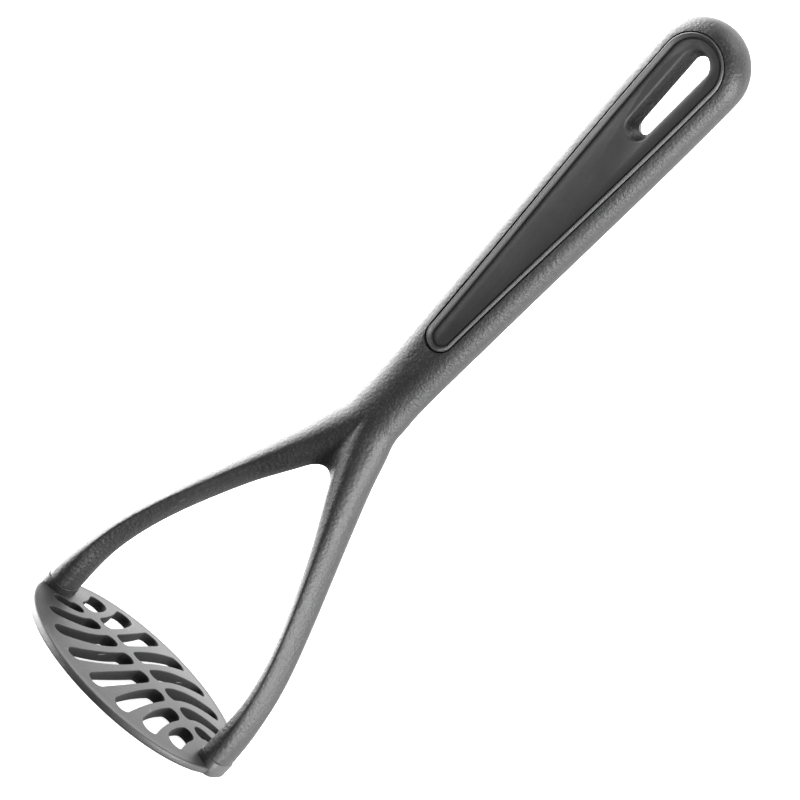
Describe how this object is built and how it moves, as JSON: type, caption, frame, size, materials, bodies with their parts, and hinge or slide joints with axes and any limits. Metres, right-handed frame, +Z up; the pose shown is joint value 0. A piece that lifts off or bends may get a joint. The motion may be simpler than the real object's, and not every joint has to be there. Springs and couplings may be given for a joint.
{
  "type": "potato masher",
  "caption": "Hand potato masher: a long bar handle with a dished inlay and a hanging hole forks into two bowed prongs that carry a round, slotted, slightly domed plate.",
  "frame": {"origin": "middle of the ring that the plate rests on, on the surface it stands on", "axes": "+Z up along the handle, +X from the middle to one prong, -Y the front face"},
  "size_m": [0.0842, 0.082, 0.286],
  "materials": {
    "grained_nylon": "fine spark-eroded grain, satin",
    "plate_nylon": "fine grain, slightly worn on the ribs",
    "inlay_nylon": "smooth matt"
  },
  "bodies": {
    "root": {"handle_frame": "grained_nylon", "masher_plate": "plate_nylon", "front_inlay": "inlay_nylon", "back_inlay": "inlay_nylon"}
  },
  "joints": []
}
